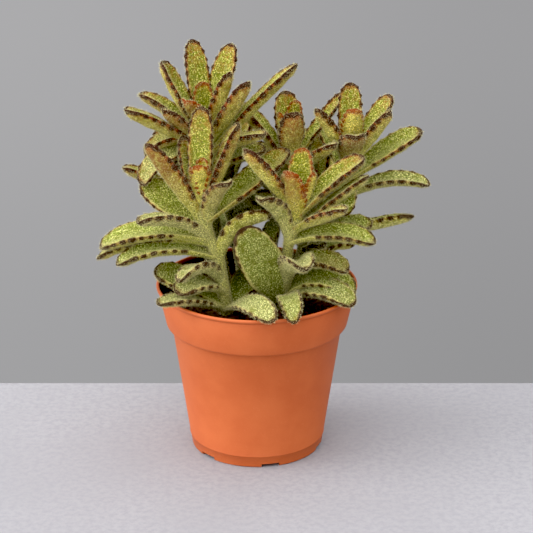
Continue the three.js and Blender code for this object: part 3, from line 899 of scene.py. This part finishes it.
# %% [markdown]
# ## The stems
# A stem is a soft tapering tube that leans from the soil to the growing tip, a little swollen where each leaf
# clasps it. Again a sphere is reshaped, along the smoothed path, so its two ends are closed and round.


# %% Reshape a sphere into a stem
def smooth_path(path, s):
    spans = len(path) - 1
    span = min(spans - 1, int(s * spans))
    share = s * spans - span
    before, start, end, after = (Vector(path[min(spans, max(0, span + k))]) for k in (-1, 0, 1, 2))
    return 0.5 * (2 * start + (end - before) * share + (2 * before - 5 * start + 4 * end - after) * share ** 2
                  + (3 * start - before - 3 * end + after) * share ** 3)


def stem_into(bm, stem, number):
    rings = 90
    foot = Vector(stem["path"][0])
    buried = foot - Vector((0, 0, 8))
    path = [buried, foot, *(Vector(point) for point in stem["path"][1:])]
    place, kind, teeth = (bm.verts.layers.float_vector[name] for name in leaf_layers)
    fringe, depth = (bm.verts.layers.float[name] for name in leaf_numbers[1:])
    heights = [row[0] for row in stem["leaves"].values()]
    for vert in bmesh.ops.create_uvsphere(bm, u_segments=20, v_segments=rings, radius=1)["verts"]:
        ring, angle = ring_and_angle(vert, rings)
        s = ring / rings
        centre = smooth_path(path, s)
        close = max(math.exp(-((centre.z - height) / 2.2) ** 2) for height in heights)
        radius = stem["radius"] * (1.0 - 0.15 * s + 0.1 * close)
        radius *= math.sqrt(max(0.0, 1 - soft_step(s, 0.93, 1.0)))
        if ring in (0, rings):
            radius = 0.0
        out = Vector((math.cos(angle), math.sin(angle), 0))
        rough = noise.noise(Vector((math.cos(angle) * 2, math.sin(angle) * 2, centre.z * 0.3 + number)))
        vert.co = (centre + out * radius * (1 + 0.06 * rough)) * MM
        vert[place] = (0.12, 0.0, -1.0)
        vert[kind] = (0.4, 0.1, 0.5)
        vert[teeth] = (-1.0, 5.0, 9.0)
        vert[fringe] = 0.9
        vert[depth] = painted_crown_shade(centre)


# %% [markdown]
# ## The felted skin
# The leaf is painted by where a point lies on it, not by where it is in the room, except for the painted
# shade deep in the crown. Each vertex carries its share along the leaf, how far out to the side and how far
# to the upper face it lies, and the beat of the teeth. From these the network draws the greener upper face,
# the pale underside, the cream line inside each margin, which also serves as a painted highlight where light
# catches the margin hairs, a brown spot on every tooth and the brown tip. Noises of three sizes break all of
# it up, because felt is never even, and two stipples with cells about a millimetre across stand for its
# tufts: pale flecks where hairs catch the light and dark specks between them.

# %% Where on the leaf a point lies
felt, tree, shader = new_material("felted_leaf")
spot = object_position(tree)


def carried(tree, name):
    attribute = add_node(tree, "Attribute", attribute_name=name)
    return add_node(tree, "SeparateXYZ", {"Vector": attribute.outputs["Vector"]}).outputs


along, side, top = carried(tree, "place")
youth, flush, bloom = carried(tree, "kind")
beat, pitch, inward = carried(tree, "teeth")
tone = add_node(tree, "Attribute", attribute_name="tone").outputs["Fac"]
depth = add_node(tree, "Attribute", attribute_name="depth").outputs["Fac"]
out = calculate(tree, "ABSOLUTE", side)


# %% Noises and stipples of the felt
def stipple(tree, position, scale, wide, narrow):
    cells = add_node(tree, "TexVoronoi", {"Vector": position, "Scale": scale}).outputs
    lot = add_node(tree, "SeparateColor", {"Color": cells["Color"]}).outputs[0]
    strength = ramp(tree, lot, 0.1, 0.8, 0.2, 1.0)
    return product(tree, ramp(tree, cells["Distance"], wide, narrow), strength)


def ragged(tree, distance, tufts, amount):
    uneven = calculate(tree, "SUBTRACT", tufts, 0.5)
    return calculate(tree, "ADD", distance, product(tree, uneven, amount))


patchy = grain(tree, spot, 85, 3)
mottle = grain(tree, spot, 210, 2)
tufts = grain(tree, spot, 380, 3, 0.6)
flecks = stipple(tree, spot, 1250.0, 0.52, 0.2)
specks = stipple(tree, spot, 900.0, 0.4, 0.18)

# %% Greens of the two faces
upper_old = mix_colours(tree, tone, screen_colour(92, 116, 26), screen_colour(146, 162, 56))
upper_face = mix_colours(tree, youth, upper_old, screen_colour(124, 134, 28))
light_patch = ramp(tree, patchy, 0.38, 0.66, 0.0, 0.5)
upper_face = mix_colours(tree, light_patch, upper_face, screen_colour(146, 158, 46))
under_face = mix_colours(tree, youth, screen_colour(210, 202, 118), screen_colour(222, 206, 110))
near_edge = product(tree, ramp(tree, out, 0.6, 0.9), ramp(tree, top, 0.1, -0.15), 0.8)
under_face = mix_colours(tree, near_edge, under_face, screen_colour(184, 178, 40))
at_base = ramp(tree, along, 0.36, 0.02, 0.0, 0.7)
skin = mix_colours(tree, ramp(tree, top, -0.05, 0.12), under_face, upper_face)
skin = mix_colours(tree, at_base, skin, screen_colour(184, 184, 100))

# %% Felt and bloom
cover = calculate(tree, "ADD", ramp(tree, tufts, 0.35, 0.7, 0.15, 0.7), product(tree, bloom, 0.3))
felt_tint = mix_colours(tree, youth, screen_colour(218, 218, 146), screen_colour(206, 194, 96))
skin = mix_colours(tree, product(tree, cover, 0.5), skin, felt_tint)
skin = mix_colours(tree, product(tree, bloom, 0.6), skin, screen_colour(190, 182, 146))
bare = product(tree, ramp(tree, flecks, 0.0, 0.45, 0.75, 0.0), ramp(tree, top, -0.2, 0.2, 0.8, 1.0))
fleck_tint = mix_colours(tree, youth, screen_colour(244, 242, 170), screen_colour(244, 232, 130))
skin = mix_colours(tree, bare, skin, screen_colour(78, 88, 22))
skin = mix_colours(tree, product(tree, flecks, 0.9), skin, fleck_tint)
skin = mix_colours(tree, product(tree, specks, 0.95), skin, screen_colour(48, 46, 14))

# %% Dark patches, brown flush and scorched margins
shade = product(tree, ramp(tree, mottle, 0.5, 0.68, 0.0, 0.6), ramp(tree, along, 0.1, 0.5, 0.2, 1.0))
skin = mix_colours(tree, shade, skin, screen_colour(92, 96, 24))
blush = product(tree, flush, ramp(tree, along, 0.1, 0.8), ramp(tree, tufts, 0.35, 0.6, 0.45, 0.95))
skin = mix_colours(tree, blush, skin, screen_colour(112, 70, 40))
outer = calculate(tree, "MAXIMUM", ramp(tree, along, 0.5, 1.0, 0.0, 0.8), ramp(tree, out, 0.5, 1.0, 0.0, 0.9))
half_grown = product(tree, ramp(tree, youth, 0.2, 0.7, 0.1, 0.8), ramp(tree, youth, 0.8, 1.0, 1.0, 0.3))
scorch = product(tree, outer, ramp(tree, tufts, 0.4, 0.6, 0.15, 1.0), half_grown)
skin = mix_colours(tree, scorch, skin, screen_colour(132, 76, 38))

# Felt scatters light back out, so the skin reads brighter than a bare leaf.
felt_glow = 1.36
skin = add_node(tree, "HueSaturation", {"Saturation": 1.02, "Value": felt_glow, "Color": skin}).outputs[0]

# %% Cream line with painted highlight, and rusty margin
# The cream line is partly the felt's colour and partly a painted highlight of light on the margin hairs.
cream_line_and_highlight = product(tree, ramp(tree, out, 0.82, 0.93), ramp(tree, top, 0.02, 0.16), 0.6)
skin = mix_colours(tree, cream_line_and_highlight, skin, screen_colour(216, 206, 130))
rust = mix_colours(tree, ramp(tree, youth, 0.75, 1.0), screen_colour(130, 54, 24), screen_colour(204, 92, 22))
at_margin = product(tree, ramp(tree, ragged(tree, inward, tufts, 1.6), 1.1, 0.3), ramp(tree, beat, -0.5, 1.5))
rusty_age = product(tree, ramp(tree, youth, 0.0, 0.5, 0.15, 0.95), ramp(tree, youth, 0.75, 1.0, 1.0, 0.15))
skin = mix_colours(tree, product(tree, at_margin, rusty_age), skin, rust)

# %% Distance from the nearest tooth, in shares of its size
tooth_number = calculate(tree, "FLOOR", beat)
seed = calculate(tree, "ADD", product(tree, tone, 91.7), calculate(tree, "SIGN", side))
lot = add_node(tree, "CombineXYZ", {"X": tooth_number, "Y": seed}).outputs[0]
lot = add_node(tree, "TexWhiteNoise", {"Vector": lot}, noise_dimensions="3D").outputs["Value"]
size = product(tree, ramp(tree, lot, 0.0, 1.0, 0.8, 1.5), ramp(tree, along, 0.3, 0.95, 0.95, 1.2))
off_beat = calculate(tree, "SUBTRACT", calculate(tree, "FRACT", beat), 0.5)
off_tooth = product(tree, off_beat, pitch, 0.75, ramp(tree, youth, 0.85, 1.0, 1.0, 1.5))
squares = calculate(tree, "ADD", product(tree, off_tooth, off_tooth), product(tree, inward, inward))
from_tooth = calculate(tree, "DIVIDE", calculate(tree, "SQRT", squares), size)
from_tooth = ragged(tree, from_tooth, tufts, 0.8)

# %% Brown teeth and tip
begun = ramp(tree, beat, 0.0, 0.3)
halo_by_age = ramp(tree, youth, 0.85, 1.0, 0.75, 0.3)
tooth = product(tree, ramp(tree, from_tooth, 1.45, 1.1), begun)
tooth_halo = product(tree, ramp(tree, from_tooth, 2.1, 1.4), begun, halo_by_age)
from_tip = calculate(tree, "ADD", product(tree, calculate(tree, "SUBTRACT", 1.0, along), 12.0), inward)
from_tip = product(tree, ragged(tree, from_tip, tufts, 2.0), ramp(tree, youth, 0.8, 1.0, 1.0, 2.0))
halo = calculate(tree, "MAXIMUM", tooth_halo, ramp(tree, from_tip, 3.6, 2.2, 0, 0.6))
halo = product(tree, halo, ramp(tree, youth, 0, 0.8, 0.4, 1.0))
dark = calculate(tree, "MAXIMUM", tooth, ramp(tree, from_tip, 2.6, 1.8))
dark = product(tree, dark, ramp(tree, youth, 0.85, 1.0, 1.0, 0.9), 0.94)
brown = mix_colours(tree, ramp(tree, youth, 0.7, 1.0), screen_colour(56, 28, 22), screen_colour(120, 44, 16))
skin = mix_colours(tree, halo, skin, rust)
skin = mix_colours(tree, dark, skin, brown)

# %% Painted shade deep in the crown, gloss and bump
# Painted shade: the skin deep in the crown is darkened to a near-black green.
skin = mix_colours(tree, product(tree, depth, 0.88), skin, screen_colour(30, 34, 8))
tree.links.new(skin, shader.inputs["Base Color"])
shader.inputs["Roughness"].default_value = 0.78
shader.inputs["Specular IOR Level"].default_value = 0.12
shader.inputs["Sheen Weight"].default_value = 0.12
shader.inputs["Sheen Roughness"].default_value = 0.6
shader.inputs["Sheen Tint"].default_value = (0.8, 0.8, 0.45, 1)
height = calculate(tree, "SUBTRACT", flecks, product(tree, specks, 0.8))
bump = add_node(tree, "Bump", {"Height": height, "Strength": 0.9, "Distance": 0.4 * MM})
tree.links.new(bump.outputs["Normal"], shader.inputs["Normal"])
print("felted leaf:", len(tree.nodes), "nodes")

# %% [markdown]
# ## The hairs
# What makes this plant look soft is its edge: short pale hairs stand out all round, and light catches them.
# A bump can't change an outline, so the hairs are real, each a thin three-sided spike. They are scattered by
# the same network as the crumbs, about two to a square millimetre on the stems and the margins, and a third
# of that on the faces, which is enough to read as felt.

# %% Hair shape and colour
hair_length = 1.4
hair_thickness = 0.085


def hair_shape(group):
    spike = group.nodes.new("GeometryNodeMeshCone")
    spike.inputs["Vertices"].default_value = 3
    spike.inputs["Radius Top"].default_value = 0
    spike.inputs["Radius Bottom"].default_value = hair_thickness * MM
    spike.inputs["Depth"].default_value = hair_length * MM
    return spike.outputs["Mesh"]


hair_white, tree, shader = new_material("felt_hairs")
shader.inputs["Base Color"].default_value = screen_colour(228, 220, 164)
shader.inputs["Roughness"].default_value = 0.7
shader.inputs["Specular IOR Level"].default_value = 0.3

# %% Grow every stem
hairs_per_square_mm = 2.6
hair_sizes = (0.5, 1.2)
hair_swing = 0.6
leaf_number = 0
for stem_name, stem in stems.items():
    bm = bmesh.new()
    for name in leaf_layers:
        bm.verts.layers.float_vector.new(name)
    for name in leaf_numbers:
        bm.verts.layers.float.new(name)
    stem_into(bm, stem, len(stem_name))
    for name, row in stem["leaves"].items():
        height, turn, rise, bend, long, wide, fold, roll = row
        leaf = dict(turn=turn, rise=rise, bend=bend, long=long, wide=wide, fold=fold, roll=roll)
        leaf["belly"] = broad_bellies.get(name, bud_belly if name.startswith("bud") else default_belly)
        key = (stem_name, name)
        leaf["kind"] = (youth_of(stem, name, height), flushed.get(key, 0.0), bloomed.get(key, 0.0))
        leaf_number += 1
        leaf_into(bm, point_at_height(stem["path"], height), leaf, leaf_number)
    bmesh.ops.recalc_face_normals(bm, faces=bm.faces)
    fix_face_order(bm)
    green = finish_piece(bm, f"leaves_{stem_name}", felt, [f"leafy_stem_{stem_name}"])
    hair_mesh = scatter(green.data, f"hairs_{stem_name}", hair_shape, hairs_per_square_mm, hair_sizes,
                        hair_swing, leaf_number, thick_where="fringe")
    finish_piece(hair_mesh, f"felt_{stem_name}", hair_white)
